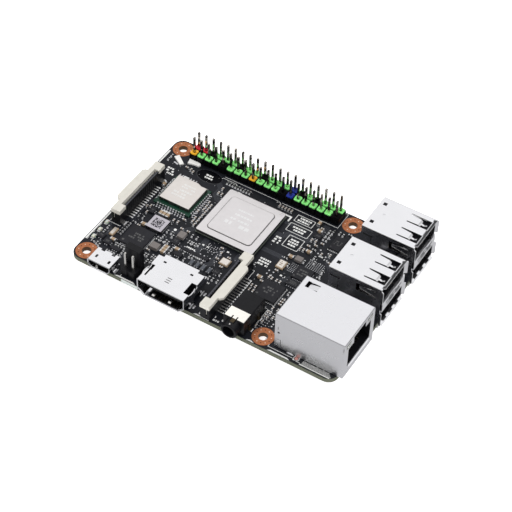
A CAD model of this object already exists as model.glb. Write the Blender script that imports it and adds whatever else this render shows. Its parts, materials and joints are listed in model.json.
"""The looks of a credit-card sized computer board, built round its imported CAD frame.

Shapes are drawn in board millimetres: x runs from the left edge towards the network and USB
connectors, y from the front edge towards the pin header, and z = 0 is the board's top face.
"""

import json
import math
import random

import bmesh
import bpy
from mathutils import Matrix, Vector


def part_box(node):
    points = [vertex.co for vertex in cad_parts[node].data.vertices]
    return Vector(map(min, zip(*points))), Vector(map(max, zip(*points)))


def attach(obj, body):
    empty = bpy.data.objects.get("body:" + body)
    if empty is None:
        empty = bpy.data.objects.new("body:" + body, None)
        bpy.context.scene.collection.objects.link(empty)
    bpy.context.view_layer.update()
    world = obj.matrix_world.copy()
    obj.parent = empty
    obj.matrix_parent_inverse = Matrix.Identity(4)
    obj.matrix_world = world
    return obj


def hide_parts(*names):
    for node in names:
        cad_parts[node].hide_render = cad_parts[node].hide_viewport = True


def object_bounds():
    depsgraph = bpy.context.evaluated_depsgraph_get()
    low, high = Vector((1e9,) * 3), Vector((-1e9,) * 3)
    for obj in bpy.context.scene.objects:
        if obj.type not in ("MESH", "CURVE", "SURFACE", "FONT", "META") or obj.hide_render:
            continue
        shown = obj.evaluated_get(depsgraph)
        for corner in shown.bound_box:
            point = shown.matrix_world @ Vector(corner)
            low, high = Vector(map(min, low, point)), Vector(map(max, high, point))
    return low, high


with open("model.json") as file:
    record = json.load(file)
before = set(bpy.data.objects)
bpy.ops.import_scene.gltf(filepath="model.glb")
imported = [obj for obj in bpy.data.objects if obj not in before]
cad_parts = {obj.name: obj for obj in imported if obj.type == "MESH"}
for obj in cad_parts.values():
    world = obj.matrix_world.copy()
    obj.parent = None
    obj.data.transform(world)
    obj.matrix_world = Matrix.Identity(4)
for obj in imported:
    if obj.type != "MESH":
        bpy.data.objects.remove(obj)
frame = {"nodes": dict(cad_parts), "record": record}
CAD_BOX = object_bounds()

MM = 0.001
BOARD_LOW, BOARD_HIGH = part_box("circuit_board")
ORIGIN = Vector((BOARD_LOW.x, BOARD_LOW.y, BOARD_HIGH.z))
UNDER = (BOARD_LOW.z - BOARD_HIGH.z) / MM          # z of the board's underside
LENGTH = (BOARD_HIGH.x - BOARD_LOW.x) / MM
WIDTH = (BOARD_HIGH.y - BOARD_LOW.y) / MM
TO_FRAME = Matrix.Translation(ORIGIN) @ Matrix.Scale(MM, 4)
TO_BOARD = TO_FRAME.inverted()
SLOTS = {s["node"]: s["material_slot"] for s in frame["record"]["subparts"]}
PITCH = 2.54                                       # between the pins of the headers
HOLES_X, HOLES_Y = (3.5, 61.5), (3.5, 52.5)        # middles of the mounting holes
HEADER_X, HEADER_Y = 32.5, 52.5                    # middle of the 40-pin header
FIDUCIAL = (72.9, 1.75)                            # the bare copper spot beside the network connector
USB_MIDDLES = (29.0, 47.0)                         # y of the two USB connectors' middles
POWER_X = 10.7                                     # middle of the power connector
RIBBON_WALL = 5.0                                  # top of the ribbon connectors' walls
VIDEO_TOP = 5.8                                    # top face of the video connector's shell
SHEET = 0.3                                        # thickness of the USB shells' sheet
USB_MOUTH = 86.0                                   # x of the USB connectors' front faces
USB_FLOORS = (1.7, 10.2)                           # floors of the lower and upper USB mouths


def board_box(node):
    """A CAD node's lowest and highest corners in board millimetres."""
    low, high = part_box(node)
    return TO_BOARD @ low, TO_BOARD @ high


def in_scene(name, data):
    """A new object in the scene that shows some data."""
    made = bpy.data.objects.new(name, data)
    bpy.context.scene.collection.objects.link(made)
    return made


# ---------------------------------------------------------------- materials
MATERIALS = {}


class Shader:
    """A node material that is put together in a few calls, and kept in MATERIALS."""

    def __init__(self, name, color, roughness, metallic=0.0, **fixed):
        self.material = MATERIALS[name] = bpy.data.materials.new(name)
        self.material.use_nodes = True
        self.tree = self.material.node_tree
        self.surface = self.tree.nodes["Principled BSDF"]
        self.set("Base Color", (*color, 1.0))
        self.set("Roughness", roughness)
        self.set("Metallic", metallic)
        for key, value in fixed.items():
            self.set(key.replace("_", " "), value)
        self.place = self.node("ShaderNodeTexCoord").outputs["Object"]

    def set(self, socket, value):
        self.surface.inputs[socket].default_value = value

    def node(self, kind, inputs=None, **settings):
        made = self.tree.nodes.new(kind)
        for key, value in settings.items():
            setattr(made, key, value)
        for key, value in (inputs or {}).items():
            if isinstance(value, bpy.types.NodeSocket):
                self.tree.links.new(value, made.inputs[key])
            else:
                made.inputs[key].default_value = value
        return made

    def link(self, output, socket):
        self.tree.links.new(output, self.surface.inputs[socket])

    def noise(self, size_mm, detail, place=None):
        """Noise whose features are about size_mm across."""
        made = self.node("ShaderNodeTexNoise", {"Vector": place or self.place, "Detail": detail,
                                                "Scale": 1 / (size_mm * MM), "Roughness": 0.55})
        return made.outputs["Fac"]

    def stretched(self, x, y, z):
        """The place, scaled along each axis, for brushed and grained surfaces."""
        made = self.node("ShaderNodeVectorMath", {0: self.place, 1: (x, y, z)}, operation="MULTIPLY")
        return made.outputs["Vector"]

    def span(self, value, low, high, to_low=0.0, to_high=1.0):
        made = self.node("ShaderNodeMapRange", {"Value": value, "From Min": low, "From Max": high,
                                                "To Min": to_low, "To Max": to_high})
        return made.outputs["Result"]

    def mix(self, factor, first, second):
        """Between two colours, each a colour or a socket."""
        made = self.node("ShaderNodeMix", data_type="RGBA")
        self.tree.links.new(factor, made.inputs["Factor"])
        for socket, value in ((made.inputs[6], first), (made.inputs[7], second)):
            if isinstance(value, bpy.types.NodeSocket):
                self.tree.links.new(value, socket)
            else:
                socket.default_value = (*value, 1.0)
        return made.outputs[2]

    def math(self, operation, first, second=0.0):
        return self.node("ShaderNodeMath", {0: first, 1: second}, operation=operation).outputs[0]

    def vary_color(self, factor, first, second):
        self.link(self.mix(factor, first, second), "Base Color")

    def vary_roughness(self, factor, low, high):
        self.link(self.span(factor, 0.3, 0.7, low, high), "Roughness")

    def bump(self, height, depth_mm):
        made = self.node("ShaderNodeBump", {"Height": height, "Strength": 1.0,
                                            "Distance": depth_mm * MM})
        self.link(made.outputs["Normal"], "Normal")

    def facing(self, low, high):
        """One on faces that look straight up or down, nought on upright ones."""
        normal = self.node("ShaderNodeTexCoord").outputs["Normal"]
        up = self.node("ShaderNodeSeparateXYZ", {0: normal}).outputs[2]
        return self.span(self.math("ABSOLUTE", up), low, high)

    def grain(self, color, wear=None, height=None):
        """Noise in the colour and, where given, in the roughness and the height.

        The first two are (size in mm, detail, low end, high end), the last (size, detail, depth).
        """
        size, detail, *ends = color
        self.vary_color(self.noise(size, detail), *ends)
        if wear:
            size, detail, *ends = wear
            self.vary_roughness(self.noise(size, detail), *ends)
        if height:
            size, detail, depth = height
            self.bump(self.noise(size, detail), depth)


def moulded_plastic(name, dark, light, roughness, **fixed):
    """Injection-moulded plastic: a slight mottle and a fine spark-eroded grain."""
    Shader(name, light, roughness, **fixed).grain(
        (1.6, 2, dark, light), (0.5, 3, roughness - 0.08, roughness + 0.10), (0.12, 2, 0.006))


def sheet_metal(name, dark, light, roughness, depth_mm=0.0006):
    """Rolled and plated sheet: faint streaks along the rolling direction and soft smudges."""
    s = Shader(name, light, roughness, 1.0)
    streaks = s.noise(1.5, 3, s.stretched(1, 8, 8))
    smudges = s.noise(5.0, 2)
    s.vary_color(smudges, dark, light)
    blend = s.math("MULTIPLY", streaks, smudges)
    s.link(s.span(blend, 0.15, 0.40, roughness - 0.03, roughness + 0.05), "Roughness")
    s.bump(streaks, depth_mm)


def plated(name, dark, light, roughness):
    """Bright plating over stamped metal, with slight colour change and fine wear."""
    Shader(name, light, roughness, 1.0).grain(
        (0.6, 3, dark, light), (0.25, 3, roughness - 0.06, roughness + 0.14), (0.3, 2, 0.004))


def banded_pin():
    """Tin-plated wire that has tarnished in soft bands along its length."""
    s = Shader("pin_dark", (0.3, 0.28, 0.25), 0.14, 1.0)
    bands = s.noise(0.9, 2, s.stretched(0.6, 0.6, 1.0))
    s.vary_color(s.span(bands, 0.44, 0.62), (0.045, 0.04, 0.036), (0.82, 0.76, 0.68))
    s.vary_roughness(s.noise(0.25, 3), 0.06, 0.22)
    s.bump(s.noise(0.3, 2), 0.004)


def ceramic_block(name, dark, light, roughness):
    """Fired ceramic: fine speckle and a slightly pitted face."""
    Shader(name, light, roughness).grain(
        (0.25, 4, dark, light), (0.12, 2, roughness - 0.08, roughness + 0.12), (0.08, 3, 0.006))


def solder_mask():
    """Glossy dark mask over copper pours and glass weave, with the laminate bare at the edges."""
    s = Shader("solder_mask", (0.016, 0.017, 0.022), 0.36, Specular_IOR_Level=0.2)
    weave, weft = [s.node("ShaderNodeTexWave", {"Vector": s.stretched(1, 1, 0), "Scale": 500.0},
                          bands_direction=way) for way in "XY"]
    pours = s.node("ShaderNodeTexVoronoi", {"Vector": s.place, "Scale": 170.0},
                   distance="CHEBYCHEV").outputs["Color"]
    pour = s.span(s.node("ShaderNodeSeparateColor", {"Color": pours}).outputs[0], 0.45, 0.55)
    mask = s.mix(pour, (0.006, 0.007, 0.010), (0.012, 0.013, 0.018))
    mottle = s.mix(s.noise(2.0, 4), mask, (0.008, 0.009, 0.012))
    flat = s.facing(0.45, 0.55)
    layers = s.noise(0.35, 2, s.stretched(0.05, 0.05, 3))
    laminate = s.mix(layers, (0.055, 0.06, 0.04), (0.16, 0.17, 0.125))
    s.vary_color(flat, laminate, mottle)
    s.link(s.span(flat, 0, 1, 0.75, 0.34), "Roughness")
    fabric = s.math("MULTIPLY", weave.outputs["Fac"], weft.outputs["Fac"])
    relief = s.math("ADD", pour, s.noise(0.3, 2))
    s.bump(s.math("ADD", s.math("MULTIPLY", fabric, 0.25), relief), 0.010)


def nickel_lid(name, color):
    """Bead-blasted nickel plate, dull on its upright sides."""
    s = Shader(name, color, 0.36, 1.0)
    dark = tuple(0.90 * c for c in color)
    side = tuple(0.20 * c for c in color)
    s.vary_color(s.facing(0.3, 0.6), side, s.mix(s.noise(2.5, 4), dark, color))
    s.vary_roughness(s.noise(0.7, 4), 0.30, 0.44)
    s.bump(s.noise(0.045, 2), 0.0045)


def ink_print(name, dark, light, roughness=0.55):
    """Screen-printed ink, a little uneven."""
    Shader(name, light, roughness).grain((0.5, 4, dark, light), None, (0.07, 2, 0.006))


solder_mask()
Shader("copper", (0.72, 0.30, 0.16), 0.38, 1.0).grain(
    (0.8, 4, (0.34, 0.11, 0.05), (0.66, 0.27, 0.13)), (0.4, 4, 0.26, 0.52), (0.2, 3, 0.008))
moulded_plastic("wall_plastic", (0.030, 0.031, 0.038), (0.055, 0.056, 0.068), 0.42)
moulded_plastic("black_plastic", (0.003, 0.003, 0.004), (0.008, 0.008, 0.010), 0.36,
                Specular_IOR_Level=0.22)
moulded_plastic("ivory_plastic", (0.56, 0.54, 0.48), (0.66, 0.64, 0.58), 0.42)
moulded_plastic("green_plastic", (0.24, 0.92, 0.21), (0.34, 0.98, 0.30), 0.30)
moulded_plastic("red_plastic", (0.64, 0.011, 0.028), (0.84, 0.02, 0.042), 0.30)
moulded_plastic("orange_plastic", (0.95, 0.42, 0.018), (0.98, 0.56, 0.03), 0.30)
moulded_plastic("blue_plastic", (0.003, 0.015, 0.24), (0.006, 0.03, 0.36), 0.30)
plated("gold_plate", (0.40, 0.34, 0.26), (0.74, 0.69, 0.60), 0.20)
plated("tin_plate", (0.62, 0.62, 0.62), (0.86, 0.86, 0.86), 0.24)
sheet_metal("shell_steel", (0.86, 0.86, 0.875), (0.93, 0.93, 0.945), 0.13)
sheet_metal("satin_steel", (0.86, 0.86, 0.88), (0.92, 0.92, 0.94), 0.30, 0.0012)
moulded_plastic("header_black", (0.001, 0.001, 0.0015), (0.004, 0.004, 0.005), 0.42,
                Specular_IOR_Level=0.08)
banded_pin()
plated("foot_bright", (0.80, 0.79, 0.76), (0.95, 0.94, 0.92), 0.22)
plated("dark_brass", (0.05, 0.04, 0.025), (0.14, 0.11, 0.07), 0.30)
plated("pin_bright", (0.62, 0.60, 0.56), (0.90, 0.89, 0.86), 0.16)
nickel_lid("lid_nickel", (0.89, 0.86, 0.86))
nickel_lid("can_steel", (0.91, 0.86, 0.815))
Shader("green_laminate", (0.02, 0.12, 0.06), 0.42).grain(
    (0.9, 3, (0.002, 0.013, 0.008), (0.008, 0.062, 0.034)), None, (0.15, 3, 0.008))
ceramic_block("routed_edge", (0.42, 0.46, 0.44), (0.62, 0.66, 0.64), 0.6)
# black filled epoxy with a fine matt moulding grain
Shader("chip_resin", (0.022, 0.022, 0.025), 0.55, Specular_IOR_Level=0.3).grain(
    (1.0, 4, (0.008, 0.008, 0.011), (0.018, 0.018, 0.022)), (0.2, 3, 0.45, 0.65), (0.05, 3, 0.006))
Shader("silicon", (0.20, 0.20, 0.26), 0.12, 0.8).grain(
    (1.2, 3, (0.13, 0.13, 0.20), (0.26, 0.25, 0.30)), (0.6, 2, 0.08, 0.2))
ceramic_block("white_ceramic", (0.70, 0.69, 0.66), (0.88, 0.87, 0.84), 0.42)
plated("crystal_case", (0.66, 0.60, 0.52), (0.88, 0.82, 0.74), 0.26)
ceramic_block("inductor_grey", (0.12, 0.105, 0.10), (0.21, 0.19, 0.18), 0.55)
nickel_lid("inductor_silver", (0.66, 0.63, 0.68))
ceramic_block("choke_grey", (0.045, 0.05, 0.06), (0.10, 0.11, 0.13), 0.38)
Shader("led_lens", (0.60, 0.61, 0.55), 0.25, Subsurface_Weight=0.3, Subsurface_Scale=0.0004).grain(
    (0.3, 2, (0.42, 0.44, 0.38), (0.66, 0.67, 0.60)), None, (0.2, 2, 0.004))
ceramic_block("capacitor_tan", (0.27, 0.19, 0.12), (0.42, 0.31, 0.20), 0.38)
ceramic_block("capacitor_brown", (0.16, 0.12, 0.09), (0.33, 0.26, 0.20), 0.38)
ceramic_block("resistor_black", (0.014, 0.014, 0.016), (0.030, 0.030, 0.034), 0.30)
ink_print("label_white", (0.76, 0.74, 0.68), (0.90, 0.88, 0.82))
Shader("clear_plastic", (0.86, 0.88, 0.84), 0.12, Transmission_Weight=0.75, IOR=1.49).grain(
    (0.9, 2, (0.80, 0.82, 0.78), (0.92, 0.94, 0.90)), None, (0.6, 2, 0.004))
# reflowed solder, bright with a faint frosted grain
Shader("solder", (0.74, 0.74, 0.75), 0.26, 1.0).grain(
    (0.3, 3, (0.55, 0.55, 0.57), (0.82, 0.82, 0.83)), (0.15, 3, 0.18, 0.42), (0.12, 3, 0.010))
ink_print("legend", (0.62, 0.62, 0.60), (0.84, 0.84, 0.82))
ink_print("grey_ink", (0.05, 0.05, 0.05), (0.10, 0.10, 0.10))
ink_print("code_ink", (0.012, 0.012, 0.016), (0.04, 0.036, 0.045))
ink_print("pink_copper", (0.40, 0.16, 0.14), (0.62, 0.30, 0.26))
nickel_lid("dark_metal", (0.16, 0.155, 0.15))
nickel_lid("lid_marks", (0.99, 0.985, 0.98))
nickel_lid("can_marks", (0.99, 0.98, 0.95))
nickel_lid("copper_dark", (0.16, 0.055, 0.03))
nickel_lid("copper_pale", (0.93, 0.66, 0.50))
plated("copper_wall", (0.09, 0.05, 0.028), (0.20, 0.115, 0.065), 0.35)
ceramic_block("dark_laminate", (0.006, 0.008, 0.008), (0.016, 0.020, 0.018), 0.4)
moulded_plastic("gloss_black", (0.001, 0.001, 0.002), (0.003, 0.003, 0.005), 0.25,
                Specular_IOR_Level=0.06)
moulded_plastic("patch_rim", (0.012, 0.013, 0.016), (0.030, 0.031, 0.038), 0.25)
ceramic_block("substrate_rim", (0.10, 0.12, 0.10), (0.22, 0.24, 0.20), 0.4)
ceramic_block("crystal_base", (0.30, 0.22, 0.14), (0.48, 0.36, 0.24), 0.35)
nickel_lid("crystal_lid", (0.93, 0.87, 0.80))
ink_print("trace_mask", (0.024, 0.026, 0.034), (0.034, 0.037, 0.047), 0.34)

# nodes whose look differs from their slot's usual one
LOOKS = {"processor_substrate": "dark_laminate", "ethernet_shell": "satin_steel",
         "jumper_header_pins": "pin_bright", "hdmi_contacts": "dark_brass",
         "micro_usb_contacts": "dark_brass", "audio_jack_contacts": "dark_brass",
         "gpio_header_base": "header_black", "gpio_header_pins": "pin_dark",
         "dsi_contacts": "foot_bright", "csi_contacts": "foot_bright"}
for node, piece in frame["nodes"].items():
    piece.data.materials.clear()
    piece.data.materials.append(MATERIALS[LOOKS.get(node, SLOTS[node])])


# ---------------------------------------------------------------- meshes
def offset_line(points, distance, closed):
    """The points moved sideways to the left by a distance, with mitred corners."""
    moved = []
    count = len(points)
    for i, p in enumerate(points):
        before = points[i - 1] if closed or i > 0 else None
        after = points[(i + 1) % count] if closed or i < count - 1 else None
        ways = [Vector((b[0] - a[0], b[1] - a[1])).normalized()
                for a, b in ((before, p), (p, after)) if a is not None and b is not None]
        normals = [Vector((-w.y, w.x)) for w in ways]
        across = sum(normals, Vector((0, 0))).normalized()
        stretch = 1 / max(0.3, across.dot(normals[0]))
        moved.append((p[0] + across.x * distance * stretch, p[1] + across.y * distance * stretch))
    return moved


def arc(x, y, radius, start, end, steps):
    """Points round an arc, angles in degrees."""
    angles = [math.radians(start + (end - start) * i / steps) for i in range(steps + 1)]
    return [(x + radius * math.cos(a), y + radius * math.sin(a)) for a in angles]


def circle(x, y, radius, steps):
    return arc(x, y, radius, 0, 360, steps)[:-1]


def round_rect(x, y, radius, steps=4):
    """A rectangle with rounded corners between the (low, high) pairs x and y."""
    points = []
    for cx, cy, start in ((x[1] - radius, y[1] - radius, 0), (x[0] + radius, y[1] - radius, 90),
                          (x[0] + radius, y[0] + radius, 180), (x[1] - radius, y[0] + radius, 270)):
        points += arc(cx, cy, radius, start, start + 90, steps)
    return points


def rect(x, y):
    return [(x[0], y[0]), (x[1], y[0]), (x[1], y[1]), (x[0], y[1])]


class Mesh:
    """Gathers faces in board millimetres and becomes one named piece."""

    def __init__(self):
        self.bm = bmesh.new()

    def loft(self, rings, capped=True):
        """Skins rings of equal numbers of (x, y, z) points, the first one lowest."""
        made = [[self.bm.verts.new(p) for p in ring] for ring in rings]
        for low, high in zip(made, made[1:]):
            for i in range(len(low)):
                j = (i + 1) % len(low)
                self.bm.faces.new((low[i], low[j], high[j], high[i]))
        if capped:
            self.bm.faces.new(made[0][::-1])
            self.bm.faces.new(made[-1])

    def prism(self, outline, low, high, edge=0.0):
        """A flat piece with an outline, given anticlockwise, and a bevelled top edge."""
        rings = [[(x, y, low) for x, y in outline]]
        if edge:
            rings.append([(x, y, high - edge) for x, y in outline])
            rings.append([(x, y, high) for x, y in offset_line(outline, edge, True)])
        else:
            rings.append([(x, y, high) for x, y in outline])
        self.loft(rings)

    def block(self, low, high):
        """A plain block, to be bevelled with the others."""
        self.prism(rect((low[0], high[0]), (low[1], high[1])), low[2], high[2])

    def stroke(self, points, width, low, high):
        """A line of a width, drawn along points."""
        left = offset_line(points, width / 2, False)
        right = offset_line(points, -width / 2, False)
        self.prism(right + left[::-1], low, high)

    def band(self, outline, width, low, high):
        """A closed line of a width, inside an outline."""
        inner = offset_line(outline, width, True)
        rings = [[(x, y, low) for x, y in outline], [(x, y, high) for x, y in outline],
                 [(x, y, high) for x, y in inner], [(x, y, low) for x, y in inner]]
        self.loft(rings + [rings[0]], capped=False)

    def dome(self, x, y, radius, low, height):
        """A low round bump."""
        self.loft([[(px, py, low + height * lift) for px, py in circle(x, y, radius * share, 12)]
                   for share, lift in ((1.0, 0.0), (0.92, 0.35), (0.70, 0.75), (0.35, 0.96))])

    def bevel(self, width):
        """Rounds every edge that is sharp."""
        bmesh.ops.remove_doubles(self.bm, verts=self.bm.verts, dist=0.002)
        sharp = [e for e in self.bm.edges
                 if len(e.link_faces) == 2 and e.calc_face_angle(0) > math.radians(30)]
        bmesh.ops.bevel(self.bm, geom=sharp, offset=width, segments=2, profile=0.5,
                        affect="EDGES", clamp_overlap=True)
        return self

    def finish(self, name, material, *replaced, body="board", slot=None):
        """Makes the piece, rides it on a body and tells which CAD nodes it replaces."""
        bmesh.ops.remove_doubles(self.bm, verts=self.bm.verts, dist=0.0005)
        bmesh.ops.recalc_face_normals(self.bm, faces=self.bm.faces)
        self.bm.transform(TO_FRAME)
        data = bpy.data.meshes.new(name)
        self.bm.to_mesh(data)
        self.bm.free()
        data.shade_smooth()
        data.set_sharp_from_angle(angle=math.radians(38))
        piece = in_scene(name, data)
        data.materials.append(MATERIALS[material])
        even = piece.modifiers.new("even_normals", "WEIGHTED_NORMAL")
        even.keep_sharp = True
        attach(piece, body)
        if replaced:
            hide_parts(*replaced)


def from_node(node):
    """A Mesh that starts as a copy of a CAD node, with its flat faces made whole."""
    mesh = Mesh()
    mesh.bm.from_mesh(frame["nodes"][node].data)
    mesh.bm.transform(TO_BOARD)
    bmesh.ops.remove_doubles(mesh.bm, verts=mesh.bm.verts, dist=0.001)
    bmesh.ops.dissolve_limit(mesh.bm, angle_limit=math.radians(0.5), verts=mesh.bm.verts,
                             edges=mesh.bm.edges)
    return mesh


def loose_boxes(node):
    """The (low, high) corners of each separate solid of a CAD node."""
    mesh = from_node(node)
    left = set(mesh.bm.verts)
    found = []
    while left:
        stack = [left.pop()]
        group = []
        while stack:
            vert = stack.pop()
            group.append(vert.co.copy())
            for edge in vert.link_edges:
                other = edge.other_vert(vert)
                if other in left:
                    left.remove(other)
                    stack.append(other)
        found.append((Vector(min(c[i] for c in group) for i in range(3)),
                      Vector(max(c[i] for c in group) for i in range(3))))
    mesh.bm.free()
    return sorted(found, key=lambda b: tuple(round(c, 3) for c in b[0]))


def softened(node, body, width):
    """A copy of a CAD node whose sharp edges are rounded, shown in its place."""
    look = LOOKS.get(node, SLOTS[node])
    from_node(node).bevel(width).finish(node + "_soft", look, node, body=body, slot=SLOTS[node])


SOFT_EDGES = {
    "gpio_header_base": 0.05, "gpio_caps_green": 0.05, "gpio_caps_red": 0.05, "gpio_caps_orange": 0.05,
    "gpio_caps_blue": 0.05, "gpio_header_pins": 0.035,
    "processor_lid": 0.05, "wireless_shield": 0.03,
    "dsi_housing": 0.05, "csi_housing": 0.05, "dsi_contacts": 0.04, "csi_contacts": 0.04,
    "hdmi_shell": 0.05, "micro_usb_shell": 0.04, "audio_jack_body": 0.05,
    "usb_front_shell": 0.06, "usb_rear_shell": 0.06, "usb_front_insulator": 0.08,
    "usb_rear_insulator": 0.08, "ethernet_shell": 0.05, "ethernet_insert": 0.08,
    "jumper_header_base": 0.05, "jumper_header_pins": 0.035, "power_inductor": 0.03,
}
for node, width in SOFT_EDGES.items():
    softened(node, "board", width)
for node, body in (("dsi_latch", "dsi_latch_body"), ("csi_latch", "csi_latch_body"),
                   ("jumper_cap", "jumper_body")):
    softened(node, body, 0.05)


# ---------------------------------------------------------------- small soldered parts
PART_INSET = 0.03                 # how far a ceramic body stands back from its plated ends


def two_ended_parts(node, material, end_mm, names):
    """Ceramic bodies, wrapped metal ends and solder fillets in place of plain CAD blocks."""
    bodies, ends, fillets = Mesh(), Mesh(), Mesh()
    for low, high in loose_boxes(node):
        size = high - low
        along = 0 if size.x > size.y else 1
        other = 1 - along
        top_side = high.z > 0
        face, base, up = (high.z, 0.0, 1) if top_side else (low.z, UNDER, -1)
        body_low, body_high = low.copy(), high.copy()
        for axis in (0, 1):
            body_low[axis] += PART_INSET
            body_high[axis] -= PART_INSET
        if top_side:
            body_high.z -= PART_INSET
        else:
            body_low.z += PART_INSET
        bodies.block(body_low, body_high)
        rise = (face - base) * 0.55
        wide = size[other] / 2 + 0.06
        centre = (low[other] + high[other]) / 2
        for s in (-1, 1):
            end_low, end_high = low.copy(), high.copy()
            if s < 0:
                end_high[along] = low[along] + end_mm
            else:
                end_low[along] = high[along] - end_mm
            ends.block(end_low, end_high)
            root = low[along] + 0.02 if s < 0 else high[along] - 0.02
            reach = 0.18 * s
            profile = [(root, 0.012), (root + reach, 0.012), (root + reach * 0.45, rise * 0.35 + 0.012),
                       (root, rise)]
            rings = []
            for across, squeeze in ((centre - wide, 0.75), (centre - wide * 0.6, 1.0),
                                    (centre + wide * 0.6, 1.0), (centre + wide, 0.75)):
                ring = []
                for a, z in profile:
                    height = base + up * z * squeeze
                    out = root + (a - root) * squeeze
                    ring.append((out, across, height) if along == 0 else (across, out, height))
                rings.append(ring)
            fillets.loft(rings)
    bodies.bevel(0.03).finish(names + "_bodies", material, node, slot=SLOTS[node])
    ends.bevel(0.035).finish(names + "_ends", "tin_plate")
    fillets.finish(names + "_solder", "solder", slot="tin_plate")


two_ended_parts("large_capacitors", "capacitor_tan", 0.36, "large_capacitor")
two_ended_parts("small_capacitors", "capacitor_brown", 0.33, "small_capacitor")
two_ended_parts("small_resistors", "resistor_black", 0.29, "small_resistor")


# ---------------------------------------------------------------- printed legend
INK_TOP = 0.022                   # thickness of printed ink


class Legend(Mesh):
    """White ink on the board's top face, or on another flat height."""

    def __init__(self, base=0.0, thick=INK_TOP, way=1):
        super().__init__()
        self.lie_on(base, thick, way)

    def lie_on(self, base, thick, way):
        """Sets the height of what is printed next; way is 1 on top of a face and -1 below it."""
        self.span = sorted((base, base + way * thick))

    def frame(self, x, y, radius, width):
        self.band(round_rect(x, y, radius), width, *self.span)

    def patch(self, x, y):
        self.prism(rect(x, y), *self.span)

    def dot(self, x, y, radius):
        self.prism(circle(x, y, radius, 12), *self.span)

    def greeked(self, x, y, rows, height, seed):
        """Rows of short plain dashes where a real part has its markings."""
        draw = random.Random(seed)
        low, high = x
        for row in range(rows):
            middle = y + row * height * 1.7
            place = low + draw.uniform(0, 0.15) * (high - low)
            end = high - draw.uniform(0, 0.15) * (high - low)
            while place < end - 0.1:
                reach = min(end, place + draw.uniform(0.5, 1.4) * height)
                if draw.random() < 0.8:
                    self.patch((place, reach), (middle - height / 2, middle + height / 2))
                place = reach + 0.3 * height


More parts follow.
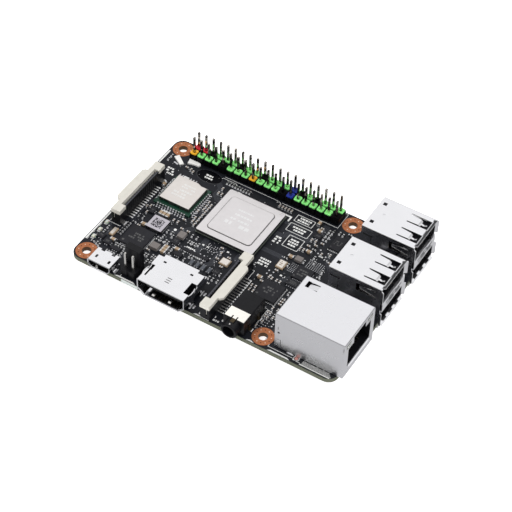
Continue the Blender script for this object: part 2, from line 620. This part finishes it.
def board_legend():
    """The lines round the connectors, and plain dashes where the real board has words and signs."""
    ink = Legend()
    header_front = HEADER_Y - PITCH - 0.75
    header_right = HEADER_X + PITCH * 10 + 0.45

    lines = [
        # round the pin header, with a small rise near its left end
        (0.12, (20.3, header_front + 0.1), (38.4, header_front + 0.1)),
        (0.12, (19.9, 48.2), (20.2, 48.6), (24.6, 48.6), (25.2, 48.1)),
        (0.13, (39.9, header_front), (header_right, header_front), (header_right, 55.5)),
        (0.13, (38.4, header_front - 0.55), (39.0, header_front), (39.9, header_front - 0.6)),
        (0.16, (header_right - 3.0, 55.6), (header_right, 55.6)),
        (0.3, (7.1, 50.9), (7.7, 49.8)),
        # the processor's corner and the left edge
        (0.5, (43.2, 45.75), (45.0, 45.75), (45.0, 43.9)),
        (0.2, (0.45, 19.5), (0.45, 44.2)),
        (0.14, (2.2, 16.9), (2.2, 18.5)),
        (0.14, (2.4, 16.3), (5.9, 16.3), (5.9, 16.55)),
        (0.1, (0.95, 7.3), (0.95, 8.3)),
        (0.1, (0.95, 10.3), (0.95, 11.3)),
        (0.1, (0.95, 13.2), (0.95, 14.6)),
        # round the network connector and along the front edge
        (0.14, (64.3, 20.0), (64.3, 1.35), (72.2, 1.35), (72.2, 0.95), (74.4, 0.95)),
        (0.14, (68.8, 20.0), (64.3, 20.0)),
        (0.3, (74.4, 0.6), (83.6, 0.6)),
        (0.12, (16.9, 0.5), (16.9, 2.0)),
        # beside the parts of the front half
        (0.13, (57.6, 5.4), (57.6, 12.3)),
        (0.13, (49.9, 12.4), (57.6, 12.4)),
        (0.15, (47.1, 18.9), (47.1, 22.4), (45.2, 22.4)),
        (0.15, (48.4, 12.0), (48.4, 18.9)),
        (0.1, (8.6, 10.6), (8.6, 10.3), (12.9, 10.3)),
        (0.13, (16.95, 13.0), (16.95, 17.6)),
        (0.13, (13.6, 19.2), (16.4, 19.2)),
    ]
    lines += [(0.11, (74.9, 1.0 + 0.32 * i), (83.8 - 0.3 * i, 1.0 + 0.32 * i)) for i in range(4)]
    for width, *points in lines:
        ink.stroke(points, width, *ink.span)

    # plain boxes of dashes where the real board has printed words
    for x, y, rows, seed in (((46.2, 52.1), (45.0, 47.8), 2, 21), ((46.0, 53.1), (40.7, 44.1), 2, 22),
                             ((48.2, 53.2), (34.9, 39.7), 3, 23)):
        ink.frame(x, y, 0.2, 0.16)
        ink.greeked((x[0] + 0.8, x[1] - 0.8), (y[0] + y[1]) / 2 - 0.51 * (rows - 1), rows, 0.6, seed)

    # rows of dashes, with no outline, where it has printed drawings and signs
    for x, y, rows, seed in (((3.8, 7.6), 41.7, 3, 24), ((45.8, 49.8), 25.6, 3, 25),
                             ((14.9, 17.9), 46.2, 2, 26), ((44.9, 47.4), 35.0, 3, 27),
                             ((46.9, 49.8), 1.3, 2, 28)):
        ink.greeked(x, y, rows, 0.6, seed)

    # bars along the board's edges, the fiducial's ring and frames round small parts
    ink.patch((0.25, 0.75), (7.3, 19.5))
    ink.patch((0.25, 0.75), (44.2, 50.0))
    for low, high in ((15.2, 22.2), (41.2, 46.4), (58.0, 60.6), (64.6, 71.6)):
        ink.prism([(low, 0.15), (high, 0.15), (high - 0.9, 0.6), (low + 0.9, 0.6)], *ink.span)
    for x, y, radius in ((79.1, 2.35, 0.2), (81.0, 2.35, 0.2), (19.9, 23.6, 0.45)):
        ink.dot(x, y, radius)
    ink.band(circle(*FIDUCIAL, 0.85, 40), 0.16, *ink.span)
    ink.frame((60.0, 63.6), (40.4, 46.4), 0.1, 0.1)
    ink.frame((51.1, 58.4), (14.2, 21.4), 0.1, 0.1)

    # reference marks: rows of plain dashes between the parts
    draw = random.Random(11)
    for x, y, wide, rows in ((29.4, 23.0, 2.4, 1), (30.3, 17.9, 2.0, 1), (2.9, 20.6, 2.0, 1),
                             (13.2, 7.1, 1.8, 1), (53.8, 24.9, 1.8, 1), (61.0, 27.0, 2.2, 2),
                             (36.6, 24.4, 2.2, 1), (9.9, 43.0, 2.0, 1), (26.5, 46.0, 2.4, 1),
                             (62.6, 51.5, 2.4, 2), (59.2, 37.0, 1.6, 1), (20.2, 40.6, 1.5, 1),
                             (60.8, 10.4, 1.8, 1), (26.0, 19.9, 3.4, 1), (33.4, 12.2, 2.6, 1),
                             (37.0, 11.6, 2.4, 1), (12.8, 28.2, 2.6, 1)):
        ink.greeked((x, x + wide), y, rows, 0.5, draw.randrange(1000))
    ink.finish("board_legend", "legend", slot="label_white")


def small_pads():
    """Bare plated pads, via dots and test points, and the bare patches of the board itself."""
    pads = Mesh()
    draw = random.Random(5)

    def dot(x, y, radius):
        pads.prism(circle(x, y, radius, 10), 0, 0.02)

    for x, y in ((50.4, 23.5), (51.8, 23.5), (50.4, 24.8), (51.8, 24.8), (58.6, 37.7), (58.6, 39.2),
                 (61.1, 37.6), (61.1, 39.2), (61.6, 7.7), (61.6, 8.6), (8.5, 6.5), (9.4, 6.5),
                 (10.4, 6.5)):
        dot(x, y, 0.24)
    for x in (25.8, 27.6, 29.1, 31.0, 32.3, 34.2):
        dot(x, 19.6, 0.22)
    for i in range(9):
        for j in range(5):
            if draw.random() < 0.7:
                dot(30.3 + 0.7 * i, 21.3 + 0.7 * j, 0.15)
    for x, y, wide, deep, step_x, step_y, radius in (
            (58.2, 31.4, 8, 7, 0.62, 0.5, 0.12), (54.6, 27.6, 4, 6, 0.55, 0.62, 0.11),
            (57.8, 4.2, 4, 9, 0.75, 0.95, 0.15), (60.9, 11.6, 4, 9, 0.8, 0.85, 0.15)):
        for i in range(wide):
            for j in range(deep):
                dot(x + step_x * i, y + step_y * j, radius)
    for i in range(7):
        pads.prism(rect((8.6 + 0.93 * i, 8.95 + 0.93 * i), (42.75, 43.3)), 0, 0.02)
    for i in range(12):
        pads.prism(rect((9.1 + 0.9 * i, 9.4 + 0.9 * i), (28.2, 28.7)), 0, 0.02)
        pads.prism(rect((21.0, 21.5), (30.2 + 0.9 * i, 30.5 + 0.9 * i)), 0, 0.02)
    for x, y, turned in ((14.1, 3.6, 1), (15.0, 1.8, 1), (40.3, 2.2, 1), (40.3, 7.6, 1), (4.6, 46.5, 0),
                         (5.4, 46.3, 0)):
        long_x, long_y = (0.28, 0.65) if turned else (0.45, 0.25)
        pads.prism(round_rect((x - long_x, x + long_x), (y - long_y, y + long_y), 0.22), 0, 0.05, 0.03)
    for i in range(260):
        x, y = draw.uniform(2, 65), draw.uniform(5, 48)
        dot(x, y, draw.choice((0.09, 0.11, 0.14)))
    pads.finish("via_pads", "solder", slot="tin_plate")

    spot = Mesh()
    spot.prism(circle(*FIDUCIAL, 0.5, 20), 0, 0.03)
    spot.finish("fiducial", "pink_copper", slot="copper")
    oval = Mesh()
    outline = [(16.4 + 4.3 * a, 46.9 + 2.55 * b) for a, b in circle(0, 0, 1, 48)]
    oval.prism(outline, -0.01, 0.012)
    oval.finish("antenna_clearance_patch", "gloss_black", slot="solder_mask")
    rim = Mesh()
    rim.band(outline, 0.22, -0.01, 0.016)
    rim.finish("antenna_clearance_rim", "patch_rim", slot="solder_mask")
    tab = Mesh()
    tab.block((17.6, -0.012, UNDER + 0.08), (23.2, 0.02, -0.06))
    tab.finish("routed_edge_tab", "routed_edge", slot="solder_mask")


def copper_traces():
    """Bundles of tracks that show through the mask."""
    tracks = Mesh()
    bundles = [
        ([(25.0, 40.2), (23.4, 40.2), (21.9, 41.7), (21.9, 44.5), (20.4, 46.0)], 6, 0.28),
        ([(44.4, 38.0), (46.4, 38.0), (48.6, 40.2), (53.4, 40.2), (55.6, 42.4), (55.6, 48.4)], 7, 0.28),
        ([(44.4, 31.0), (50.6, 31.0), (53.4, 28.2), (56.4, 28.2)], 6, 0.26),
        ([(40.6, 25.4), (40.6, 23.4), (42.2, 21.8), (42.2, 2.6)], 6, 0.28),
        ([(29.6, 25.5), (29.6, 19.8), (32.0, 17.4), (32.0, 10.3)], 7, 0.26),
        ([(35.4, 25.5), (35.4, 18.0), (34.4, 17.0), (34.4, 10.3)], 6, 0.26),
        ([(20.6, 33.6), (22.4, 33.6), (24.8, 36.0)], 8, 0.28),
        ([(8.2, 30.0), (7.2, 29.0), (7.2, 21.0), (8.4, 19.8)], 5, 0.28),
        ([(61.9, 27.6), (64.4, 27.6), (66.4, 25.6), (66.4, 20.2), (68.4, 18.6)], 6, 0.28),
        ([(61.8, 40.4), (61.8, 36.8), (65.0, 33.6), (69.6, 33.6)], 5, 0.3),
        ([(63.6, 44.6), (66.2, 44.6), (67.6, 46.0), (69.7, 46.0)], 5, 0.3),
        ([(44.4, 43.2), (46.6, 43.2), (50.6, 47.2), (50.6, 49.4)], 4, 0.3),
        ([(26.2, 45.0), (26.2, 46.2), (29.4, 49.4)], 9, 0.32),
        ([(17.4, 23.0), (20.4, 23.0), (24.4, 27.0)], 6, 0.3),
        ([(12.6, 4.8), (12.6, 7.0), (14.8, 9.2), (14.8, 10.9)], 5, 0.3),
        ([(58.2, 17.6), (61.4, 17.6), (63.2, 15.8), (63.2, 3.0)], 6, 0.28),
        ([(55.0, 21.3), (55.0, 23.4), (57.0, 25.4)], 6, 0.28),
        ([(3.2, 20.4), (3.2, 15.0), (4.4, 13.8), (4.4, 5.6)], 3, 0.3),
        ([(13.8, 28.9), (13.8, 25.2)], 6, 0.3),
    ]
    for route, count, pitch in bundles:
        for i in range(count):
            line = offset_line(route, pitch * (i - (count - 1) / 2), False)
            tracks.stroke(line, 0.13, -0.01, 0.012)
    tracks.finish("copper_traces", "trace_mask", slot="solder_mask")


def ring_dots():
    """The small plated dots round each mounting hole, and the copper that lines it."""
    light, dark, walls = Mesh(), Mesh(), Mesh()
    for hx in HOLES_X:
        for hy in HOLES_Y:
            for i in range(12):
                angle = math.radians(30 * i + 15)
                x, y = hx + 2.32 * math.cos(angle), hy + 2.32 * math.sin(angle)
                (dark if i % 2 else light).prism(circle(x, y, 0.18, 12), 0.045, 0.062)
            walls.band(circle(hx, hy, 1.36, 32), 0.05, UNDER - 0.045, 0.045)
    light.finish("mounting_ring_dots", "copper_pale", slot="copper")
    dark.finish("mounting_ring_vias", "copper_dark", slot="copper")
    walls.finish("mounting_hole_walls", "copper_wall", slot="copper")


# ---------------------------------------------------------------- chips
BLACK_CHIPS = ("power_management_chip", "audio_codec_chip", "lan_chip", "small_black_chips")


def lead_frames():
    """Side pads and solder of the leadless chips, and short leads of the others."""
    pads = Mesh()
    for low, high in [box for node in BLACK_CHIPS for box in loose_boxes(node)]:
        size = high - low
        pitch = 0.5 if min(size.x, size.y) > 3 else 0.65
        for axis in (0, 1):
            ways = int((size[axis] - 0.5) / pitch)
            if ways < 2:
                continue
            first = (low[axis] + high[axis]) / 2 - pitch * (ways - 1) / 2
            for edge, s in ((low[1 - axis], -1), (high[1 - axis], 1)):
                for i in range(ways):
                    centre = first + pitch * i
                    along = (centre - pitch * 0.27, centre + pitch * 0.27)
                    for back, out, *shape in ((0.05, 0.24, 0.06, 0.02), (0.02, 0.03, 0.2)):
                        across = sorted((edge - s * back, edge + s * out))
                        spans = (along, across) if axis == 0 else (across, along)
                        pads.prism(rect(*spans), 0, *shape)
    pads.finish("chip_pads", "solder", slot="tin_plate")


def chip_markings():
    """Plain dashes and a pin-one dot on each chip."""
    draw = random.Random(23)
    ink = Legend()
    for low, high in [box for node in (*BLACK_CHIPS, "memory_chips") for box in loose_boxes(node)]:
        size = high - low
        short = min(size.x, size.y)
        if short < 1.6:
            continue
        face, way = (high.z, 1) if high.z > 0 else (low.z, -1)
        ink.lie_on(face - 0.004 * way, 0.012, way)
        row_height = min(0.55, 0.11 * short)
        rows = 3 if size.y > 2.2 else 2
        ink.greeked((low.x + 0.18 * size.x, high.x - 0.18 * size.x),
                    (low.y + high.y) / 2 - row_height * 0.85 * (rows - 1), rows, row_height,
                    draw.randrange(1000))
        ink.dot(low.x + 0.12 * size.x, low.y + 0.13 * size.y, 0.05 * short)
    ink.finish("chip_markings", "grey_ink", slot="chip_resin")


def processor_details():
    """The step round the processor's lid, rows of dashes on it, and the rim of the board beneath."""
    low, high = board_box("processor_lid")
    middle = (low + high) / 2
    half = 14.5 / 2 + 0.03
    groove = Mesh()
    outline = round_rect((middle.x - half, middle.x + half), (middle.y - half, middle.y + half), 1.25, 6)
    groove.band(outline, -0.10, 1.648, 1.664)
    groove.finish("processor_lid_step", "dark_metal", slot="lid_nickel")
    marks = Legend(high.z - 0.002, 0.008)
    rows = ((3.0, 0.6, 1), (3.9, 0.75, 2), (3.4, 0.75, 3), (4.3, 1.3, 4))
    for row, (reach, tall, seed) in enumerate(rows):
        y = middle.y + 3.2 - 1.9 * row
        marks.greeked((middle.x - reach, middle.x + reach), y, 1, tall, seed)
    marks.finish("processor_lid_marks", "lid_marks", slot="lid_nickel")
    low, high = board_box("processor_substrate")
    rim = Mesh()
    rim.band(round_rect((low.x, high.x), (low.y, high.y), 0.3), 0.1, high.z - 0.04, high.z + 0.004)
    rim.finish("processor_substrate_rim", "substrate_rim", slot="green_laminate")


def wireless_details():
    """Solder of the wireless module's edge contacts, and rows of dashes on its lid."""
    low, high = board_box("wireless_module_board")
    joints = Mesh()
    pitch, ways, side = 0.9, 11, high.x - low.x
    first = (side - pitch * (ways - 1)) / 2
    profile = [(-0.25, 0.0), (-0.25, high.z + 0.012), (0.03, high.z + 0.012), (0.12, 0.5 * high.z),
               (0.26, 0.03), (0.50, 0.02), (0.50, 0.0)]
    for i in range(ways):
        along = first + pitch * i
        for x, y, out in ((low.x + along, low.y, (0, -1)), (low.x + along, high.y, (0, 1)),
                          (low.x, low.y + along, (-1, 0)), (high.x, low.y + along, (1, 0))):
            base, way, across = Vector((x, y)), Vector(out), Vector((-out[1], out[0])) * 0.24
            joints.loft([[(*(base + way * reach + across * s), z) for reach, z in profile]
                         for s in (-1, 1)])
    joints.finish("wireless_module_joints", "solder", slot="tin_plate")
    low, high = board_box("wireless_shield")
    marks = Legend(high.z - 0.003, 0.009)
    middle = (low + high) / 2
    marks.greeked((middle.x - 2.8, middle.x + 2.8), middle.y - 2.2, 3, 0.7, 31)
    marks.greeked((middle.x - 2.4, middle.x + 3.0), middle.y + 1.6, 2, 0.6, 32)
    marks.finish("wireless_shield_marks", "can_marks", slot="can_steel")


def crystals():
    """Ceramic bases with seam-welded lids, and rows of plain dashes on the network chip's one."""
    bases, lids, rims = Mesh(), Mesh(), Mesh()
    for i, (low, high) in enumerate(loose_boxes("crystals")):
        if low.x > 45 and high.x - low.x > 2.2:
            marks = Legend(high.z - 0.002, 0.008)
            middle = (low + high) / 2
            reach = (high.x - low.x) / 2 - 0.7
            marks.greeked((middle.x - reach, middle.x + reach), middle.y - 0.5, 3, 0.35, 61 + i)
            marks.finish("crystal_marks_%d" % i, "capacitor_brown", slot="crystal_case")
        step = high.z * 0.65
        bases.block(low, Vector((high.x, high.y, step)))
        edge, seam = 0.16, 0.12
        x, y = (low.x + edge, high.x - edge), (low.y + edge, high.y - edge)
        lid = round_rect((x[0] + seam, x[1] - seam), (y[0] + seam, y[1] - seam), 0.15)
        lids.prism(lid, step, high.z, 0.05)
        rims.prism(round_rect(x, y, 0.2), step, high.z - 0.06, 0.04)
    bases.bevel(0.04).finish("crystal_bases", "crystal_base", "crystals", slot="crystal_case")
    lids.finish("crystal_lids", "crystal_lid", slot="crystal_case")
    rims.finish("crystal_rims", "crystal_case")


def end_pads():
    """Plated ends of the inductors, chokes, lamps and antennas."""
    ends = Mesh()
    for node, share, height in (("small_inductors", 0.2, 0.35), ("power_inductor", 0.16, 0.3)):
        for low, high in loose_boxes(node):
            size = high - low
            for x in ((low.x - 0.05, low.x + share * size.x), (high.x - share * size.x, high.x + 0.05)):
                y = low.y + 0.12 * size.y, high.y - 0.12 * size.y
                ends.block((x[0], y[0], 0), (x[1], y[1], height * size.z))
    for low, high in loose_boxes("common_mode_chokes"):
        for x in ((low.x - 0.02, low.x + 0.3), (high.x - 0.3, high.x + 0.02)):
            for y in ((low.y - 0.1, low.y + 0.25), (high.y - 0.25, high.y + 0.1)):
                ends.block((x[0], y[0], 0), (x[1], y[1], high.z * 0.92))
    for low, high in loose_boxes("status_leds"):
        for y in ((low.y - 0.12, low.y + 0.32), (high.y - 0.32, high.y + 0.12)):
            ends.block((low.x - 0.03, y[0], 0), (high.x + 0.03, y[1], 0.33))
    ends.bevel(0.03).finish("plated_ends", "tin_plate")


def inductor_code():
    """A plain chequered block where the inductor is marked."""
    draw = random.Random(77)
    low, high = board_box("power_inductor")
    code = Legend(high.z - 0.002, 0.01)
    cell = 0.25
    for i in range(13):
        for j in range(13):
            if draw.random() < 0.62:
                x, y = low.x + 0.95 + cell * i, low.y + 0.9 + cell * j
                code.patch((x, x + cell), (y, y + cell))
    code.finish("inductor_code", "code_ink", slot="inductor_silver")


# ---------------------------------------------------------------- solder of the connectors
def surface_joints():
    """Solder at the feet of the surface-mounted contacts."""
    joints = Mesh()
    for node, along, sides in (("dsi_contacts", 0, (-1, 1)), ("csi_contacts", 0, (-1, 1)),
                               ("hdmi_contacts", 1, (1,)), ("micro_usb_contacts", 1, (-1, 1)),
                               ("audio_jack_contacts", 0, (-1, 1))):
        side = 1 - along
        for low, high in loose_boxes(node):
            if low.z > 0.05 or low.z < -0.2:         # only the parts that stand on the board
                continue
            wide = min((high - low)[side] / 2 + 0.05, 0.9)
            centre = (low[side] + high[side]) / 2
            for s in sides:
                tip = high[along] if s > 0 else low[along]
                profile = [(tip - s * 0.25, 0.012), (tip + s * 0.22, 0.012), (tip + s * 0.06, 0.10),
                           (tip - s * 0.25, 0.14)]
                joints.loft([[(a, across, z) if along == 0 else (across, a, z) for a, z in profile]
                             for across in (centre - wide, centre + wide)])
    joints.finish("surface_solder_joints", "solder", slot="tin_plate")


def mouth_springs():
    """Sprung bumps in the mouths of the video, power and audio connectors."""
    springs = Mesh()
    for x, y in ((29.0, -0.5), (34.2, -0.3)):
        springs.loft([[(x - 0.4, y + along, 0.76 + lift), (x + 0.4, y + along, 0.76 + lift),
                       (x + 0.4, y + along, 0.80 + lift), (x - 0.4, y + along, 0.80 + lift)]
                      for along, lift in ((-0.55, 0.0), (-0.2, 0.28), (0.25, 0.3), (0.6, 0.0))])
    springs.finish("hdmi_floor_springs", "pin_bright", slot="shell_steel")
    for name, place, height in (("micro_usb_floor_spring", (9.6, -0.1, 0.42, 0.26), 0.75),
                                ("audio_jack_spring_bump", (53.85, -1.25, 0.3, 4.96), 0.22)):
        bump = Mesh()
        bump.dome(*place, height)
        bump.finish(name, "pin_bright", slot="shell_steel")


def video_shell_bars():
    """Three plain bars on the video connector's shell, where the real one is stamped."""
    marks = Legend(VIDEO_TOP - 0.004, 0.012)
    for i in range(3):
        marks.patch((31.3, 32.7), (1.3 + 0.8 * i, 1.55 + 0.8 * i))
    marks.finish("hdmi_shell_marks", "dark_metal", slot="shell_steel")


def ribbon_wall_combs():
    """The moulded comb along the top of each ribbon connector's contact wall."""
    combs = Mesh()
    back, front = 0.36, 0.60          # from the wall's outer face to a notch's two ends
    for node, inward in (("csi_housing", 1), ("dsi_housing", -1)):
        low, high = board_box(node)
        face = low.x if inward > 0 else high.x
        middle = (low.y + high.y) / 2
        outline = [(face + inward * 0.04, middle - 8.2), (face + inward * 0.04, middle + 8.2)]
        for i in range(15, -1, -1):
            y = middle + i - 7.5
            for v, reach in ((y + 0.3, back), (y + 0.3, front), (y - 0.3, front), (y - 0.3, back)):
                outline.append((face + inward * reach, v))
        if inward > 0:
            outline = outline[::-1]
        combs.prism(outline, RIBBON_WALL - 0.05, RIBBON_WALL + 0.03)
    combs.finish("ribbon_wall_combs", "wall_plastic", slot="black_plastic")


def usb_port_details():
    """Dark slots in the dividers' noses, notched lips, and bright cut edges round the side springs."""
    slots, notches, edges = Mesh(), Mesh(), Mesh()
    face = USB_MOUTH + 0.5
    lip = USB_FLOORS[0]
    rows = [(-2.6, 1.2, 9.44), (-4.2, -0.4, 8.84), (1.0, 4.4, 8.84),
            (-2.2, 3.4, 8.24), (-3.6, 0.4, 7.64), (1.6, 4.0, 7.64)]
    for name in ("usb_front_shell", "usb_rear_shell"):
        low, high = board_box(name)
        centre = (low.y + high.y) / 2
        for start, end, z in rows:
            slots.block((face - 0.05, centre + start, z - 0.2), (face + 0.012, centre + end, z + 0.2))
        for start in (-4.4, -1.0, 2.4):
            notches.loft([[(USB_MOUTH - 0.1, y, lip + 0.012), (USB_MOUTH + 0.42, y, lip - 0.29),
                           (USB_MOUTH + 0.42, y, lip - 0.35), (USB_MOUTH - 0.1, y, lip - 0.05)]
                          for y in (centre + start, centre + start + 1.9)])
        for side in (-1, 1):
            wall = centre + side * 6.55
            for floor in USB_FLOORS:
                middle = floor + 2.5
                y = sorted((wall + side * 0.012, wall - side * SHEET))
                edges.block((79.0, y[0], middle - 1.36), (84.3, y[1], middle - 1.24))
                tip, root = wall - side * 0.33, wall + side * 0.02
                for above, below, spread in ((0.62, 0.5, 0.4), (-0.48, -0.60, -0.4)):
                    edges.loft([[(x, y, middle + above + lift), (x, y, middle + below + lift),
                                 (x, y - side * 0.08, middle + below + lift),
                                 (x, y - side * 0.08, middle + above + lift)]
                                for x, y, lift in ((79.2, tip, 0.0), (84.3, root, spread))])
    slots.finish("usb_divider_slots", "black_plastic", slot="black_plastic")
    notches.finish("usb_lip_notches", "black_plastic", slot="black_plastic")
    edges.finish("usb_window_edges", "foot_bright", slot="shell_steel")


def shell_leg_joints():
    """Solder that fills the slots round the shells' legs, above and below the board."""
    joints = Mesh()
    places = [(x, y, 0.55, 1.25) for x in (24.65, 39.35) for y in (2.2, 7.6)]
    places += [(70.6, y, 1.25, 0.5) for y in (2.38, 18.12)]
    places += [(x, centre + s * 6.4, 1.25, 0.5)
               for centre in USB_MIDDLES for x in (73.0, 81.0) for s in (-1, 1)]
    for x, y, half_x, half_y in places:
        for way, base in ((1, 0.0), (-1, UNDER)):
            rings = []
            for share, lift in ((1.0, 0.0), (0.96, 0.06), (0.75, 0.20), (0.45, 0.34)):
                ring = [(x + half_x * share * a, y + half_y * share * b, base + way * lift)
                        for a, b in circle(0, 0, 1, 20)]
                rings.append(ring if way > 0 else ring[::-1])
            joints.loft(rings)
    joints.finish("shell_leg_joints", "solder", slot="tin_plate")
    feet = Mesh()
    for x in (POWER_X - 4.2, POWER_X + 4.2):
        feet.prism(round_rect((x - 0.35, x + 0.35), (0.6, 2.4), 0.3), 0, 0.08, 0.05)
    feet.finish("micro_usb_foot_joints", "solder", slot="tin_plate")


def through_joints():
    """Solder cones round every through-hole tail, on the underside."""
    cones = Mesh()
    for node in ("gpio_header_pins", "jumper_header_pins", "usb_front_contacts", "usb_rear_contacts",
                 "ethernet_contacts"):
        for low, high in loose_boxes(node):
            if low.z > UNDER:
                continue
            x, y = (low.x + high.x) / 2, (low.y + high.y) / 2
            rings = []
            for radius, lift in ((0.86, 0.0), (0.86, 0.03), (0.62, 0.16), (0.46, 0.42), (0.36, 0.85)):
                rings.append([(px, py, UNDER - lift) for px, py in circle(x, y, radius, 16)][::-1])
            cones.loft(rings)
    cones.finish("underside_solder_joints", "solder", slot="tin_plate")


def underside_legend():
    """Outlines, a field of open pads and rows of dashes on the underside, which the photograph hides."""
    ink = Legend(UNDER, INK_TOP, -1)
    ink.frame((19.5, 46.0), (25.0, 41.5), 0.5, 0.18)
    ink.frame((41.5, 55.0), (8.0, 23.0), 0.5, 0.15)
    ink.stroke([(6.5, 49.3), (58.5, 49.3)], 0.15, *ink.span)
    ink.frame((66.0, 84.0), (3.0, 20.5), 0.4, 0.15)
    for i in range(9):
        for j in range(3):
            if (i + j) % 3:
                ink.frame((18.0 + 2.1 * i, 19.6 + 2.1 * i), (12.0 + 2.4 * j, 13.6 + 2.4 * j), 0.3, 0.16)
    draw = random.Random(41)
    for x, y in ((5.0, 40.0), (5.0, 14.0), (33.0, 46.5), (56.0, 40.0), (67.0, 24.0), (58.0, 14.0),
                 (30.0, 6.0)):
        ink.greeked((x, x + 6.0), y, 2, 0.8, draw.randrange(1000))
    ink.finish("underside_legend", "legend", slot="label_white")


board_legend()
small_pads()
copper_traces()
ring_dots()
lead_frames()
chip_markings()
processor_details()
wireless_details()
crystals()
end_pads()
inductor_code()
surface_joints()
mouth_springs()
video_shell_bars()
ribbon_wall_combs()
usb_port_details()
shell_leg_joints()
through_joints()
underside_legend()


# ---------------------------------------------------------------- stage, light and camera
def area_light(name, place, size, power):
    """A lamp aimed at the frame's origin, unseen in shiny surfaces."""
    data = bpy.data.lights.new(name, "AREA")
    data.shape = "RECTANGLE"
    data.size, data.size_y = size
    data.energy = power
    lamp = in_scene(name, data)
    lamp.location = place
    lamp.visible_glossy = False
    lamp.rotation_mode = "QUATERNION"
    lamp.rotation_quaternion = (-Vector(place)).to_track_quat("-Z", "Y")


LAMPS = [
    ("softbox_right", (0.85, 0.25, 0.80), (0.7, 0.7), 4.5),
    ("softbox_front", (0.05, -0.80, 0.95), (0.7, 0.7), 3.5),
    ("softbox_left", (-0.95, -0.10, 0.70), (0.7, 0.7), 3.0),
]


def studio():
    """White paper under the board, a dome with bands of light, and three soft lamps."""
    floor_z = CAD_BOX[0].z
    half = 3.0                         # metres
    data = bpy.data.meshes.new("floor")
    data.from_pydata([(-half, -half, floor_z), (half, -half, floor_z), (half, half, floor_z),
                      (-half, half, floor_z)], [], [(0, 1, 2, 3)])
    floor = in_scene("floor", data)
    s = Shader("floor_paper", (0.96, 0.96, 0.96), 0.8, Emission_Strength=0.8)
    s.set("Emission Color", (1.0, 1.0, 1.0, 1.0))
    s.vary_color(s.noise(4.0, 3), (0.95, 0.95, 0.95), (0.97, 0.97, 0.97))
    data.materials.append(s.material)

    floor.visible_glossy = False       # metal reflects the dim lower half of the dome, not the lit paper

    world = bpy.data.worlds.new("studio")
    world.use_nodes = True
    tree = world.node_tree
    background = tree.nodes["Background"]
    split = tree.nodes.new("ShaderNodeSeparateXYZ")
    tree.links.new(tree.nodes.new("ShaderNodeTexCoord").outputs["Generated"], split.inputs[0])
    level = tree.nodes.new("ShaderNodeValToRGB")
    shift = tree.nodes.new("ShaderNodeMapRange")
    shift.inputs["From Min"].default_value = -1.0
    tree.links.new(split.outputs["Z"], shift.inputs["Value"])
    tree.links.new(shift.outputs["Result"], level.inputs["Fac"])
    ramp = level.color_ramp
    ramp.elements[0].position, ramp.elements[0].color = 0.0, (0.62, 0.62, 0.64, 1)
    ramp.elements[1].position, ramp.elements[1].color = 1.0, (0.92, 0.92, 0.93, 1)
    for height, shade in ((-0.5, 0.52), (-0.15, 0.08), (0.2, 0.07), (0.5, 0.85), (0.7, 0.95)):
        ramp.elements.new((height + 1) / 2).color = (shade, shade, shade * 1.01, 1)
    tree.links.new(level.outputs["Color"], background.inputs["Color"])
    bpy.context.scene.world = world
    for name, place, size, power in LAMPS:
        area_light(name, place, size, power)


def camera():
    """The photograph's viewing direction, aimed at the middle of the board."""
    azimuth, elevation, roll = math.radians(30.39), math.radians(47.24), math.radians(1.83)
    distance, shift_right, shift_up = 453.21, 1.40, -1.10        # millimetres
    back = Vector((math.sin(azimuth) * math.cos(elevation), -math.cos(azimuth) * math.cos(elevation),
                   math.sin(elevation)))
    right = Vector((math.cos(azimuth), math.sin(azimuth), 0))
    up = back.cross(right)
    tilted_right = math.cos(roll) * right + math.sin(roll) * up
    tilted_up = -math.sin(roll) * right + math.cos(roll) * up
    middle = Vector((LENGTH / 2, WIDTH / 2, 0))
    place = TO_FRAME @ (middle + back * distance + right * shift_right + up * shift_up)
    data = bpy.data.cameras.new("camera")
    data.lens = 113.6
    data.sensor_width = 36.0
    data.clip_start = 0.01
    made = in_scene("camera", data)
    turn = Matrix((tilted_right, tilted_up, back)).transposed().to_4x4()
    made.matrix_world = Matrix.Translation(place) @ turn
    bpy.context.scene.camera = made


studio()
camera()
bpy.context.scene.view_settings.view_transform = "Standard"
